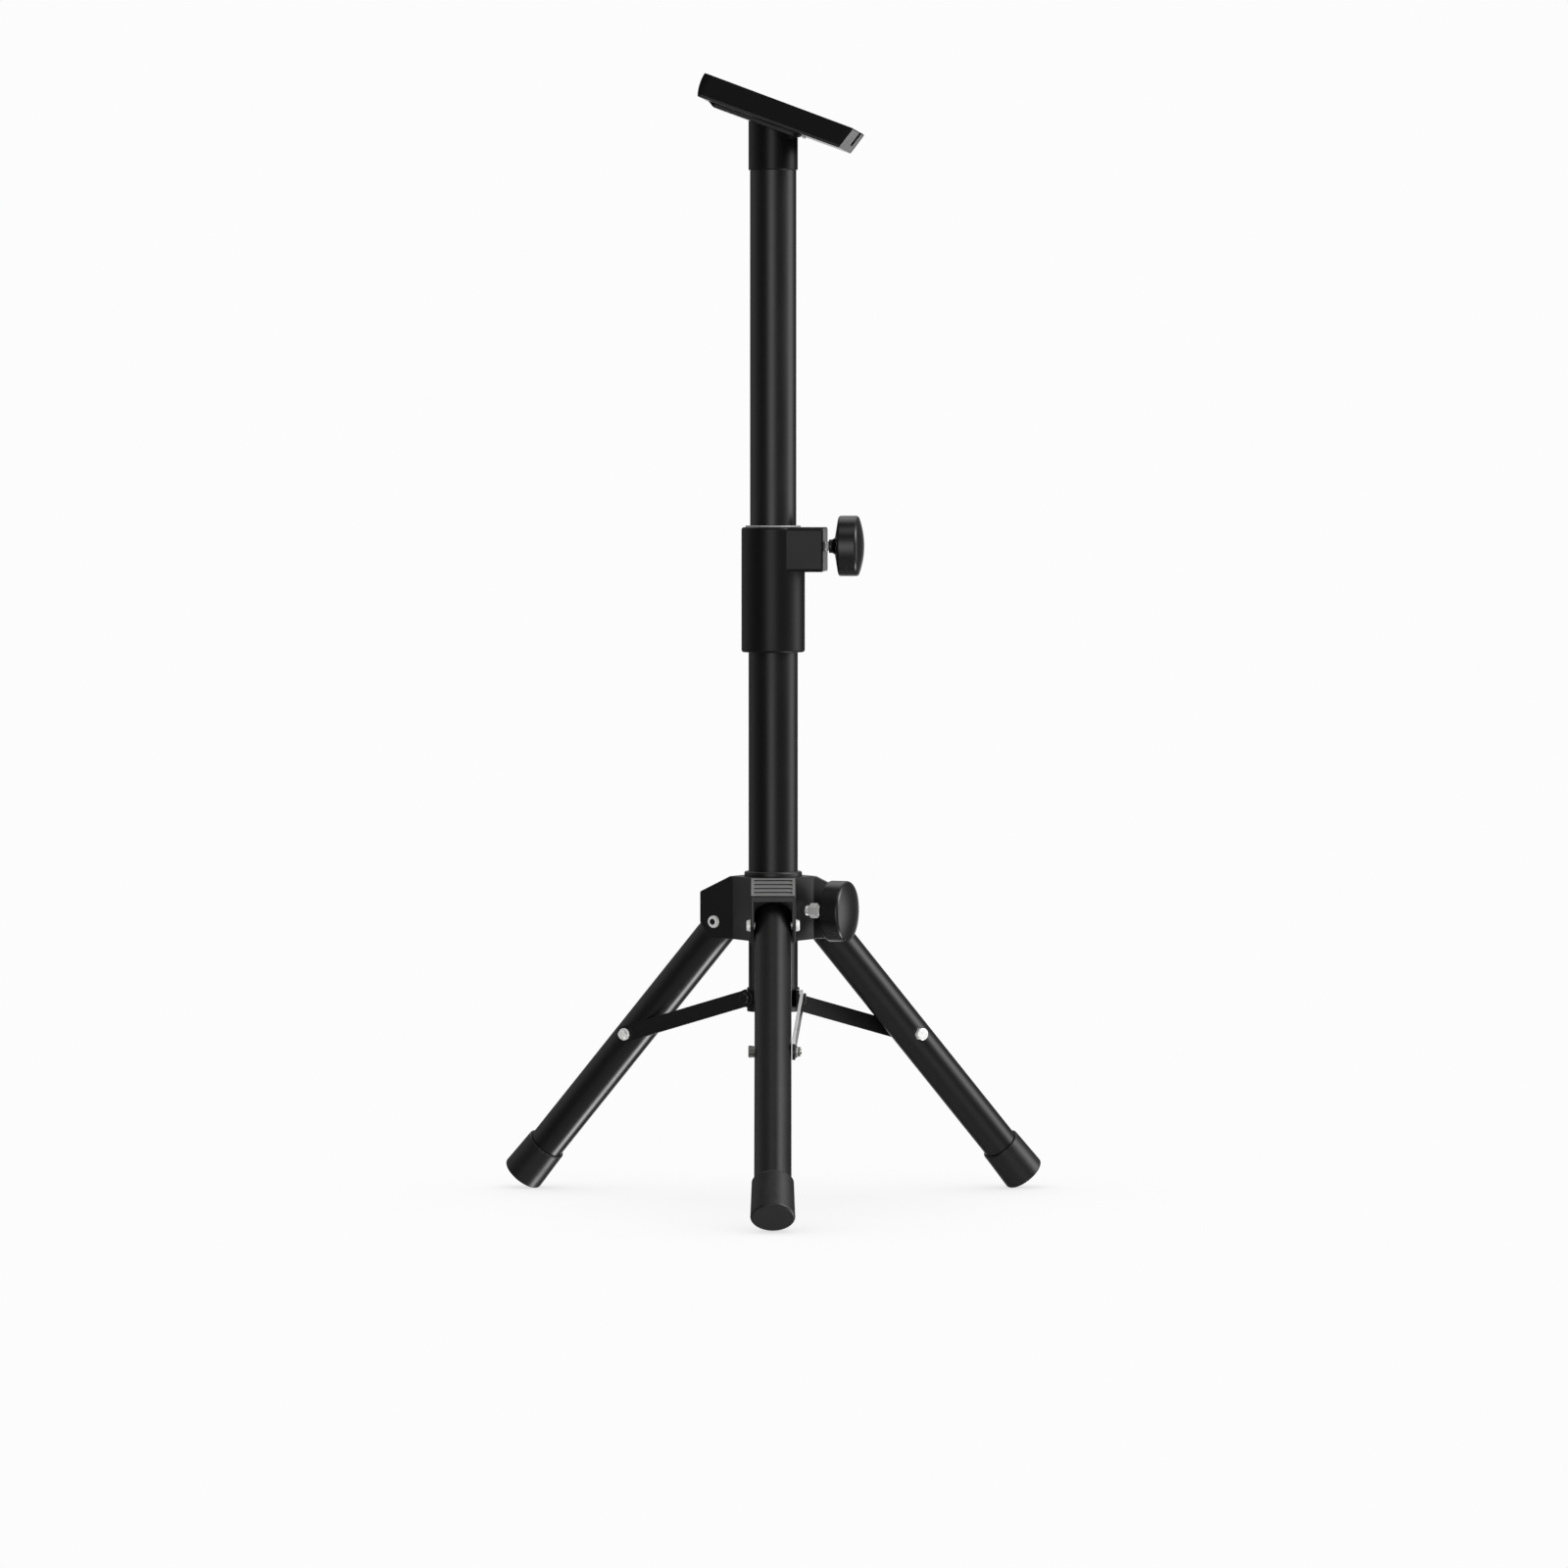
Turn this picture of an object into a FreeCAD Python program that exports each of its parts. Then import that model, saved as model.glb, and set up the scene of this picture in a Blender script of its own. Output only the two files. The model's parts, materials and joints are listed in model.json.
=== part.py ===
import FreeCAD, Part
import math
import os

# A portable tripod stand: a sliding hub with three tube legs, a telescopic
# mast with a knob clamp, three flat braces, and a tilted head on a socket.
# Millimetres, +Z up, floor at Z = 0, front leg towards -Y. Shapes are made
# with the mast on the Z axis and moved back at the end, so that the origin
# lies under the middle of the whole stand.

Vector = FreeCAD.Vector
UP = Vector(0, 0, 1)
CENTRE = Vector(0, 0, 0)

# Legs
FRONT_AZIMUTH = -90.0
LEG_COUNT = 3
LEG_SPLAY = 42.0             # from the vertical
LEG_DIAMETER = 28.0
LEG_WALL = 0.9
LEG_LENGTH = 276.5           # pivot to the middle of the foot's end face
LEG_TOP = 11.0               # leg tube above its pivot
LEG_PIVOT_REACH = 42.8       # mast axis to leg pivot
LEG_RIVET_AT = 121.4         # along the leg, from its pivot

# Rubber foot caps
CAP_LENGTH = 33.0
CAP_TOP_DIAMETER = 31.5
CAP_END_DIAMETER = 33.5
CAP_FLOOR = 4.0
CAP_EDGE = 1.5               # rounding of the end face

# Mast tubes
LOWER_DIAMETER = 38.0
UPPER_DIAMETER = 35.6
TUBE_WALL = 0.9
LOWER_BELOW_PIVOT = 68.5     # foot of the mast under the leg pivots
LOWER_LENGTH = 340.0
UPPER_OVERLAP = 61.0         # of the two tubes, as shown
UPPER_LENGTH = 389.4

# Clamp collar at the top of the lower tube
CLAMP_DIAMETER = 48.9
CLAMP_HEIGHT = 96.2
CLAMP_GRIP = 63.5            # collar over the lower tube
CLAMP_EDGE = 2.0
BOSS_HEIGHT = 34.4
BOSS_WIDTH = 42.4
BOSS_REACH = 40.3
BOSS_EDGE = 3.0
BOSS_FACE_EDGE = 1.4
CLAMP_AZIMUTH = -5.5
CLAMP_KNOB_DROP = 14.6       # knob axis under the clamp's top
BUSH_WALL = 2.4
BUSH_LIP = 1.3               # flange height over the clamp
BUSH_LIP_DIAMETER = 42.6

# Hub that slides on the lower tube
HUB_BELOW_PIVOT = 13.0
HUB_HEIGHT = 48.6
HUB_WALL = 2.8
HUB_EDGE = 1.0               # rounding of the arms' outer edges
ARM_REACH = 55.6
ARM_SIDE_GAP = 0.6           # between a leg and the arm's flange
WEB_DISTANCE = 28.0          # mast axis to the flat between two arms
ROOF_START = 28.7
ROOF_SLOPE = 25.0
ROOF_BEND = 3.0
LIP_DROP = 4.4               # front edge of the roof
ARM_CORNER_RISE = 12.5       # cut corner below the arm's front edge
ARM_CORNER_SETBACK = 8.0
SLEEVE_WALL = 3.6
GROOVE_COUNT = 4             # across each roof, with ribs between them
GROOVE_PITCH = 6.4
GROOVE_WIDTH = 4.2
GROOVE_DEPTH = 0.9
RING_DIAMETER = 44.5
RING_HEIGHT = 3.8
RING_EDGE = 1.2
HUB_KNOB_AZIMUTH = -22.0
HUB_KNOB_DROP = 26.0         # knob axis under the hub's top
HUB_KNOB_STEM_START = 40.0   # mast axis to the inner end of the stem
HUB_KNOB_STEM_LENGTH = 3.8

# Knobs
KNOB_DIAMETER = 46.8
KNOB_STEM_DIAMETER = 10.6
CLAMP_KNOB_GAP = 3.0         # between the boss and the stem, where the screw shows
CLAMP_KNOB_STEM_LENGTH = 4.2
KNOB_FLARE = 3.0             # hollow between the stem and the back
KNOB_BACK = 3.4              # tapered back of the head
KNOB_RIM = 14.8              # straight rim
KNOB_DOME = 4.4
KNOB_EDGE = 2.0
KNOB_FACE_EDGE = 2.6
SCREW_DIAMETER = 8.0
SCREW_GRIP = 9.0             # screw inside the knob

# Fasteners
BOLT_DIAMETER = 6.0
BOLT_HEAD_DIAMETER = 9.6
BOLT_HEAD_HEIGHT = 3.0
RIVET_DIAMETER = 5.0
RIVET_HEAD_DIAMETER = 8.2
RIVET_HEAD_HEIGHT = 2.2
HEAD_ROUNDING = 0.5          # share of a head's height that is rounded off

# Braces and the collar that carries them
COLLAR_HEIGHT = 18.0
COLLAR_WALL = 1.2
EAR_THICKNESS = 2.5
EAR_PIVOT_REACH = 12.0       # mast axis to the brace's pivot, along the leg
EAR_PIVOT_RISE = 10.5        # over the collar's bottom
EAR_HEIGHT = 14.0
BRACE_WIDTH = 12.6
BRACE_THICKNESS = 2.5
BRACE_LEG_GAP = 0.4          # between the brace and the leg's side
BRACE_END_FLAT = 11.0        # straight ends of the brace, from each pivot
BRACE_BEND = 20.0            # radius of its two gentle bends
END_ROUNDING = 0.99          # share of a flat bar's half width that is rounded at its ends

# Head
HEAD_TILT = 20.6             # down towards +X
HEAD_YAW = -5.5
TRAY_LENGTH = 121.5
TRAY_WIDTH = 104.0
TRAY_HIGH_END = 18.6         # thickness at the upper end
TRAY_LOW_END = 17.6
TRAY_END_SETBACK = 5.4       # lower end slopes in under its top edge
TRAY_BACK_SETBACK = 1.2      # and so does the upper end
TRAY_BACK_BOW = 1.5          # swell of the upper end
TRAY_TOP_OFFSET = 9.4        # middle of the top face from the mast axis
TRAY_EDGE = 1.0
TRAY_LOWER_EDGE = 3.2
TRAY_CORNER = 7.0
PAN_DEPTH = 3.4
PAN_END_INSET = 6.4          # from the tray's upper end
PAN_END_SLOPE = 6.0          # length of the slanted upper end
PAN_PAST_SOCKET = 3.7
PAN_SIDE_INSET = 27.0
PAN_EDGE = 2.8
NOTCH_WIDTH = 16.0
NOTCH_DEPTH = 12.0
NOTCH_LENGTH = 5.0
NOTCH_OFFSET = 16.0          # from the tray's middle line, away from the front
SOCKET_WALL = 1.1
SOCKET_GRIP = 22.3           # over the upper tube
SOCKET_CEILING = 2.6         # over the tube's top, where the pan comes lowest
SOCKET_EDGE = 1.0

# Clearances
RUNNING_FIT = 0.05           # radial, at a pin or shaft
SLIDE_FIT = 0.3              # radial, between tubes that slide
SEAT_GAP = 0.3               # between faces of two bodies

# Worked out from the above
LEG_SPACING = 360.0 / LEG_COUNT
LEG_AZIMUTHS = {
    "front": FRONT_AZIMUTH, "right": FRONT_AZIMUTH + LEG_SPACING, "left": FRONT_AZIMUTH - LEG_SPACING}
LEG_RADIUS = LEG_DIAMETER / 2
SPLAY = math.radians(LEG_SPLAY)
CAP_EDGE_REACH = CAP_END_DIAMETER / 2 - CAP_EDGE
CAP_EDGE_AT = LEG_LENGTH - CAP_EDGE
PIVOT_HEIGHT = CAP_EDGE_AT * math.cos(SPLAY) + CAP_EDGE_REACH * math.sin(SPLAY) + CAP_EDGE
LOWER_RADIUS = LOWER_DIAMETER / 2
UPPER_RADIUS = UPPER_DIAMETER / 2
HUB_BOTTOM = PIVOT_HEIGHT - HUB_BELOW_PIVOT
HUB_TOP = HUB_BOTTOM + HUB_HEIGHT
LOWER_BOTTOM = PIVOT_HEIGHT - LOWER_BELOW_PIVOT
LOWER_TOP = LOWER_BOTTOM + LOWER_LENGTH
UPPER_BOTTOM = LOWER_TOP - UPPER_OVERLAP
UPPER_TOP = UPPER_BOTTOM + UPPER_LENGTH
CLAMP_BOTTOM = LOWER_TOP - CLAMP_GRIP
CLAMP_TOP = CLAMP_BOTTOM + CLAMP_HEIGHT
COLLAR_BOTTOM = LOWER_BOTTOM
SOCKET_BOTTOM = UPPER_TOP - SOCKET_GRIP
SOCKET_RADIUS = UPPER_RADIUS + RUNNING_FIT + SOCKET_WALL
HUB_BORE = LOWER_RADIUS + SLIDE_FIT
ARM_INSIDE = LEG_RADIUS + ARM_SIDE_GAP
ARM_OUTSIDE = ARM_INSIDE + HUB_WALL
EAR_OUTSIDE = LOWER_RADIUS + COLLAR_WALL
EAR_INSIDE = EAR_OUTSIDE - EAR_THICKNESS
EAR_PIVOT_HEIGHT = COLLAR_BOTTOM + EAR_PIVOT_RISE
BRACE_AT_EAR = EAR_OUTSIDE + SEAT_GAP
BRACE_AT_LEG = LEG_RADIUS + BRACE_LEG_GAP
LEG_RIVET_REACH = LEG_PIVOT_REACH + LEG_RIVET_AT * math.sin(SPLAY)
LEG_RIVET_HEIGHT = PIVOT_HEIGHT - LEG_RIVET_AT * math.cos(SPLAY)
BRACE_RUN = LEG_RIVET_REACH - EAR_PIVOT_REACH
BRACE_DROP = EAR_PIVOT_HEIGHT - LEG_RIVET_HEIGHT
BRACE_LENGTH = math.hypot(BRACE_RUN, BRACE_DROP)
BRACE_SLOPE = math.degrees(math.atan2(BRACE_DROP, BRACE_RUN))
CLAMP_KNOB_HEIGHT = CLAMP_TOP - CLAMP_KNOB_DROP
HUB_KNOB_HEIGHT = HUB_TOP - HUB_KNOB_DROP


def foot_extent(azimuth, towards):
    """Reach of one foot cap from the mast axis in the level direction given by an azimuth."""
    share = math.cos(math.radians(azimuth - towards))
    middle = LEG_PIVOT_REACH + CAP_EDGE_AT * math.sin(SPLAY)
    along = math.sin(SPLAY) * share
    return middle * share + CAP_EDGE_REACH * math.sqrt(1 - along * along) + CAP_EDGE


FRONT_EXTENT = foot_extent(LEG_AZIMUTHS["front"], FRONT_AZIMUTH)
REAR_EXTENT = foot_extent(LEG_AZIMUTHS["right"], -FRONT_AZIMUTH)
MAST_SHIFT = Vector(0, (FRONT_EXTENT - REAR_EXTENT) / 2, 0)


def outline(corners):
    """Closed face in the XZ plane from (x, z), (x, z, radius) or (x, z, 0, bow) corners.

    A radius rounds its corner. A bow makes the run to the next corner an arc that swells to its right by that much.
    """
    points = [Vector(c[0], 0, c[1]) for c in corners]
    radii = [c[2] if len(c) > 2 else 0.0 for c in corners]
    bows = [c[3] if len(c) > 3 else 0.0 for c in corners]
    runs = []
    edges = []
    for i, point in enumerate(points):
        if radii[i] <= 0:
            runs.append((point, point))
            continue
        back = (points[i - 1] - point).normalize()
        ahead = (points[(i + 1) % len(points)] - point).normalize()
        half = back.getAngle(ahead) / 2
        tangent = radii[i] / math.tan(half)
        middle_line = (back + ahead).normalize()
        middle = point + middle_line * (radii[i] / math.sin(half) - radii[i])
        start = point + back * tangent
        end = point + ahead * tangent
        edges.append(Part.Arc(start, middle, end).toShape())
        runs.append((start, end))
    for i, run in enumerate(runs):
        start = runs[i - 1][1]
        if bows[i - 1]:
            along = run[0] - start
            right = Vector(along.z, 0, -along.x).normalize()
            edges.append(Part.Arc(start, (start + run[0]) / 2 + right * bows[i - 1], run[0]).toShape())
        elif start.distanceToPoint(run[0]) > 1e-6:
            edges.append(Part.LineSegment(start, run[0]).toShape())
    return Part.Face(Part.Wire(Part.__sortEdges__(edges)))


def turned_profile(corners):
    """Solid of revolution about Z from a profile of (radius, height) corners."""
    return outline(corners).revolve(CENTRE, UP, 360)


def slab(corners, width):
    """XZ outline carried across Y, half of the width on each side."""
    face = outline(corners)
    face.translate(Vector(0, -width / 2, 0))
    return face.extrude(Vector(0, width, 0))


def rounded_block(length, width, height, corner):
    """Upright block with rounded vertical corners, middle of its base at the origin."""
    x, y = length / 2, width / 2
    face = outline([(-x, -y, corner), (x, -y, corner), (x, y, corner), (-x, y, corner)])
    face.rotate(CENTRE, Vector(1, 0, 0), -90)
    block = face.extrude(Vector(0, 0, height))
    return block


def edges_at(shape, height):
    """Edges of a shape that lie at one height."""
    return [e for e in shape.Edges if abs(e.BoundBox.ZMin - height) < 1e-4 and abs(e.BoundBox.ZMax - height) < 1e-4]


def tube(outer, inner, bottom, top):
    """Hollow upright cylinder, given by its radii."""
    body = Part.makeCylinder(outer, top - bottom, Vector(0, 0, bottom))
    return body.cut(Part.makeCylinder(inner, top - bottom, Vector(0, 0, bottom)))


def laid_along(shape, base, direction):
    """Copy of a shape made along Z, moved so that its axis starts at base and points along direction."""
    placed = shape.copy()
    placed.Placement = FreeCAD.Placement(base, FreeCAD.Rotation(UP, direction)).multiply(placed.Placement)
    return placed


def swung(shape, azimuth):
    """Copy of a shape made towards +X, turned about the mast to an azimuth."""
    turned = shape.copy()
    turned.rotate(CENTRE, UP, azimuth)
    return turned


def whole(shape):
    """The one solid of a shape, with faces that lie in one surface merged."""
    merged = shape.removeSplitter()
    return merged.Solids[0] if len(merged.Solids) == 1 else merged


def save(name, shape):
    """Writes one piece, moved back from the mast axis to the stand's own origin."""
    piece = whole(shape)
    piece.translate(MAST_SHIFT)
    piece.exportStep("parts/" + name + ".step")


def cross_pin(radius, start, end, reach, height):
    """Pin across a leg's plane, from one side distance to another."""
    return Part.makeCylinder(radius, end - start, Vector(reach, start, height), Vector(0, 1, 0))


def domed_head(diameter, height, start, side, reach, height_at):
    """Fastener head on one side (+1 or -1) of a leg's plane, flat against start and domed outwards."""
    radius = diameter / 2
    head = turned_profile([(0, 0), (radius, 0), (radius, height, height * HEAD_ROUNDING), (0, height)])
    return laid_along(head, Vector(reach, start, height_at), Vector(0, side, 0))


def leg_point(along):
    """Point on a leg's axis, by its distance from the pivot."""
    return Vector(LEG_PIVOT_REACH + along * math.sin(SPLAY), 0, PIVOT_HEIGHT - along * math.cos(SPLAY))


LEG_DIRECTION = Vector(math.sin(SPLAY), 0, -math.cos(SPLAY))


def leg_rivet():
    """Rivet through a leg: head on its far side, shank ending flush under the brace."""
    seat = math.sqrt(LEG_RADIUS ** 2 - (RIVET_HEAD_DIAMETER / 2) ** 2)
    shank = cross_pin(RIVET_DIAMETER / 2, -seat, seat, LEG_RIVET_REACH, LEG_RIVET_HEIGHT)
    head_height = RIVET_HEAD_HEIGHT + LEG_RADIUS - seat
    head = domed_head(RIVET_HEAD_DIAMETER, head_height, -seat, -1, LEG_RIVET_REACH, LEG_RIVET_HEIGHT)
    return shank.fuse(head)


def leg_tube():
    """Leg from above its pivot to the floor of its foot cap, with its pivot and rivet holes."""
    length = LEG_TOP + LEG_LENGTH - CAP_FLOOR
    shape = laid_along(tube(LEG_RADIUS, LEG_RADIUS - LEG_WALL, 0, length), leg_point(-LEG_TOP), LEG_DIRECTION)
    hole = cross_pin(BOLT_DIAMETER / 2 + RUNNING_FIT, -LEG_DIAMETER, LEG_DIAMETER, LEG_PIVOT_REACH, PIVOT_HEIGHT)
    return shape.cut(hole).cut(leg_rivet())


def foot_cap():
    """Tapered rubber cap, open towards the leg."""
    bore = LEG_RADIUS + RUNNING_FIT
    top = CAP_TOP_DIAMETER / 2
    end = CAP_END_DIAMETER / 2
    shape = turned_profile([
        (0, CAP_LENGTH - CAP_FLOOR), (bore, CAP_LENGTH - CAP_FLOOR), (bore, 0),
        (top, 0, CAP_EDGE / 2), (end, CAP_LENGTH, CAP_EDGE), (0, CAP_LENGTH)])
    return laid_along(shape, leg_point(LEG_LENGTH - CAP_LENGTH), LEG_DIRECTION)


def pivot_bolt():
    """Bolt that a leg swings on, with a domed head and a domed nut."""
    shape = cross_pin(BOLT_DIAMETER / 2, -ARM_OUTSIDE, ARM_OUTSIDE, LEG_PIVOT_REACH, PIVOT_HEIGHT)
    for side in (-1, 1):
        head = domed_head(BOLT_HEAD_DIAMETER, BOLT_HEAD_HEIGHT, side * ARM_OUTSIDE, side,
                          LEG_PIVOT_REACH, PIVOT_HEIGHT)
        shape = shape.fuse(head)
    return shape


def roof_height(reach):
    """Height of an arm's sloping roof at a distance from the mast axis."""
    return HUB_TOP - (reach - ROOF_START) * math.tan(math.radians(ROOF_SLOPE))


def arm_body():
    """Solid arm towards +X with its sloping roof, cut lower corner and rounded outer edges."""
    arm = slab([
        (0, HUB_BOTTOM), (ARM_REACH - ARM_CORNER_SETBACK, HUB_BOTTOM, ROOF_BEND),
        (ARM_REACH, HUB_BOTTOM + ARM_CORNER_RISE, ROOF_BEND),
        (ARM_REACH, roof_height(ARM_REACH), ROOF_BEND / 2),
        (ROOF_START, HUB_TOP, ROOF_BEND), (0, HUB_TOP)], 2 * ARM_OUTSIDE)
    side_edges = [e for e in arm.Edges if e.BoundBox.YLength < 1e-4 and e.BoundBox.XMax > 1e-4]
    return arm.makeFillet(HUB_EDGE, side_edges)


def arm_channel():
    """Space that a leg's top moves in: open below and in front, under the roof and its lip."""
    back = HUB_BORE + SLEEVE_WALL
    front = ARM_REACH - HUB_WALL
    drop = HUB_WALL / math.cos(math.radians(ROOF_SLOPE))
    lip = roof_height(ARM_REACH) - LIP_DROP
    beyond = ARM_REACH + HUB_WALL
    below = HUB_BOTTOM - HUB_WALL
    return slab([
        (back, below), (beyond, below), (beyond, lip), (front, lip), (front, roof_height(front) - drop),
        (ROOF_START, HUB_TOP - drop), (back, HUB_TOP - drop)], 2 * ARM_INSIDE)


def roof_grooves():
    """Shallow grooves across an arm's roof, which leave ribs between them and rims beside them."""
    slope = math.radians(ROOF_SLOPE)
    middle = (ROOF_START + ARM_REACH) / 2
    cutters = []
    for i in range(GROOVE_COUNT):
        along = (i - (GROOVE_COUNT - 1) / 2) * GROOVE_PITCH
        reach = middle + along * math.cos(slope)
        groove = Part.makeBox(GROOVE_WIDTH, 2 * ARM_INSIDE, 2 * GROOVE_DEPTH,
                              Vector(-GROOVE_WIDTH / 2, -ARM_INSIDE, -GROOVE_DEPTH))
        groove.rotate(CENTRE, Vector(0, 1, 0), ROOF_SLOPE)
        groove.translate(Vector(reach, 0, roof_height(reach)))
        cutters.append(groove)
    return cutters


def hub_body():
    """Moulded hub: a six-sided core with three hollow arms, bored for the mast, the bolts and the knob's screw."""
    crease = (WEB_DISTANCE - ARM_OUTSIDE * math.sin(math.radians(60))) / math.cos(math.radians(60))
    corners = []
    for azimuth in LEG_AZIMUTHS.values():
        turn = FreeCAD.Rotation(UP, azimuth)
        for side in (-1, 1):
            corners.append(turn.multVec(Vector(crease, side * ARM_OUTSIDE, HUB_BOTTOM)))
    core = Part.Face(Part.makePolygon(corners + corners[:1])).extrude(Vector(0, 0, HUB_TOP - HUB_BOTTOM))
    shape = core
    for azimuth in LEG_AZIMUTHS.values():
        shape = shape.fuse(swung(arm_body(), azimuth))
    for azimuth in LEG_AZIMUTHS.values():
        shape = shape.cut([swung(groove, azimuth) for groove in roof_grooves()])
        shape = shape.cut(swung(arm_channel(), azimuth))
        hole = cross_pin(BOLT_DIAMETER / 2, -2 * ARM_OUTSIDE, 2 * ARM_OUTSIDE, LEG_PIVOT_REACH, PIVOT_HEIGHT)
        shape = shape.cut(swung(hole, azimuth))
    shape = shape.cut(Part.makeCylinder(HUB_BORE, HUB_TOP - HUB_BOTTOM, Vector(0, 0, HUB_BOTTOM)))
    return shape.cut(knob_hole(HUB_KNOB_AZIMUTH, HUB_KNOB_HEIGHT, 2 * WEB_DISTANCE))


def hub_ring():
    """Flanged ring on top of the hub, round the mast."""
    outer = RING_DIAMETER / 2
    return turned_profile([
        (HUB_BORE, HUB_TOP), (outer, HUB_TOP), (outer, HUB_TOP + RING_HEIGHT, RING_EDGE),
        (HUB_BORE, HUB_TOP + RING_HEIGHT)])


def outward(azimuth):
    """Level direction away from the mast at an azimuth."""
    return Vector(math.cos(math.radians(azimuth)), math.sin(math.radians(azimuth)), 0)


def knob_hole(azimuth, height, depth):
    """Cutter for a knob's screw, from the mast axis outwards."""
    return Part.makeCylinder(SCREW_DIAMETER / 2 + RUNNING_FIT, depth, Vector(0, 0, height), outward(azimuth))


def knob(stem_start, stem_length, azimuth, height):
    """Round knob with a flared stem, a tapered back, a straight rim and a domed face, bored for its screw."""
    stem = KNOB_STEM_DIAMETER / 2
    rim = KNOB_DIAMETER / 2
    bore = SCREW_DIAMETER / 2
    rim_start = stem_length + KNOB_BACK
    rim_end = rim_start + KNOB_RIM
    face = rim_end + KNOB_DOME
    dome_radius = (rim ** 2 + KNOB_DOME ** 2) / (2 * KNOB_DOME)
    dome_bow = dome_radius - math.sqrt(dome_radius ** 2 - (rim ** 2 + KNOB_DOME ** 2) / 4)
    shape = turned_profile([
        (bore, 0), (stem, 0), (stem, stem_length, KNOB_FLARE), (rim, rim_start, KNOB_EDGE),
        (rim, rim_end, 0, dome_bow), (0, face), (0, SCREW_GRIP), (bore, SCREW_GRIP)])
    shape = shape.makeFillet(KNOB_FACE_EDGE, edges_at(shape, rim_end))
    return laid_along(shape, outward(azimuth) * stem_start + Vector(0, 0, height), outward(azimuth))


def knob_screw(tip, stem_start, azimuth, height):
    """Screw that a knob turns, from near the tube that it presses on into the knob."""
    length = stem_start + SCREW_GRIP - tip
    base = outward(azimuth) * tip + Vector(0, 0, height)
    return Part.makeCylinder(SCREW_DIAMETER / 2, length, base, outward(azimuth))


def clamp_bush():
    """Lining between the clamp and the upper tube, with a lip over the clamp's top."""
    inner = UPPER_RADIUS + SLIDE_FIT
    outer = inner + BUSH_WALL
    lip = BUSH_LIP_DIAMETER / 2
    shape = turned_profile([
        (inner, LOWER_TOP), (outer, LOWER_TOP), (outer, CLAMP_TOP), (lip, CLAMP_TOP),
        (lip, CLAMP_TOP + BUSH_LIP, BUSH_LIP / 2), (inner, CLAMP_TOP + BUSH_LIP)])
    return shape.cut(knob_hole(CLAMP_AZIMUTH, CLAMP_KNOB_HEIGHT, CLAMP_DIAMETER))


def clamp_collar():
    """Moulded collar with a square boss for the knob."""
    outer = CLAMP_DIAMETER / 2
    bush = UPPER_RADIUS + SLIDE_FIT + BUSH_WALL
    shape = turned_profile([
        (0, CLAMP_BOTTOM), (outer, CLAMP_BOTTOM, CLAMP_EDGE), (outer, CLAMP_TOP, CLAMP_EDGE), (0, CLAMP_TOP)])
    boss = rounded_block(BOSS_HEIGHT, BOSS_WIDTH, BOSS_REACH, BOSS_EDGE)
    boss = boss.makeFillet(BOSS_FACE_EDGE, edges_at(boss, BOSS_REACH))
    boss = laid_along(boss, Vector(0, 0, CLAMP_TOP - BOSS_HEIGHT / 2), Vector(1, 0, 0))
    shape = shape.fuse(swung(boss, CLAMP_AZIMUTH))
    shape = shape.cut(Part.makeCylinder(LOWER_RADIUS, LOWER_TOP - CLAMP_BOTTOM, Vector(0, 0, CLAMP_BOTTOM)))
    shape = shape.cut(Part.makeCylinder(bush, CLAMP_TOP - LOWER_TOP, Vector(0, 0, LOWER_TOP)))
    return shape.cut(knob_hole(CLAMP_AZIMUTH, CLAMP_KNOB_HEIGHT, 2 * BOSS_REACH))


def brace_collar():
    """Ring at the foot of the mast with a tangent ear for each brace."""
    shape = tube(EAR_OUTSIDE, LOWER_RADIUS, COLLAR_BOTTOM, COLLAR_BOTTOM + COLLAR_HEIGHT)
    ear_round = EAR_HEIGHT / 2
    rounding = ear_round * END_ROUNDING
    low = EAR_PIVOT_HEIGHT - ear_round
    high = EAR_PIVOT_HEIGHT + ear_round
    tip = EAR_PIVOT_REACH + ear_round
    ear = slab([(0, low), (tip, low, rounding), (tip, high, rounding), (0, high)], EAR_THICKNESS)
    ear.translate(Vector(0, EAR_OUTSIDE - EAR_THICKNESS / 2, 0))
    hole = cross_pin(BOLT_DIAMETER / 2, EAR_INSIDE, 2 * EAR_OUTSIDE, EAR_PIVOT_REACH, EAR_PIVOT_HEIGHT)
    for azimuth in LEG_AZIMUTHS.values():
        shape = shape.fuse(swung(ear, azimuth)).cut(swung(hole, azimuth))
    return shape.cut(Part.makeCylinder(LOWER_RADIUS, COLLAR_HEIGHT, Vector(0, 0, COLLAR_BOTTOM)))


def brace_pivot():
    """Rivet that a brace turns on, flush inside its ear."""
    outside = BRACE_AT_EAR + BRACE_THICKNESS + SEAT_GAP
    shank = cross_pin(BOLT_DIAMETER / 2, EAR_INSIDE, outside, EAR_PIVOT_REACH, EAR_PIVOT_HEIGHT)
    head = domed_head(RIVET_HEAD_DIAMETER, RIVET_HEAD_HEIGHT, outside, 1, EAR_PIVOT_REACH, EAR_PIVOT_HEIGHT)
    return shank.fuse(head)


def set_on_brace(shape):
    """Copy of a shape made along +X from the ear's pivot, laid on the brace's slope."""
    placed = shape.copy()
    placed.rotate(CENTRE, Vector(0, 1, 0), BRACE_SLOPE)
    placed.translate(Vector(EAR_PIVOT_REACH, 0, EAR_PIVOT_HEIGHT))
    return placed


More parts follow.
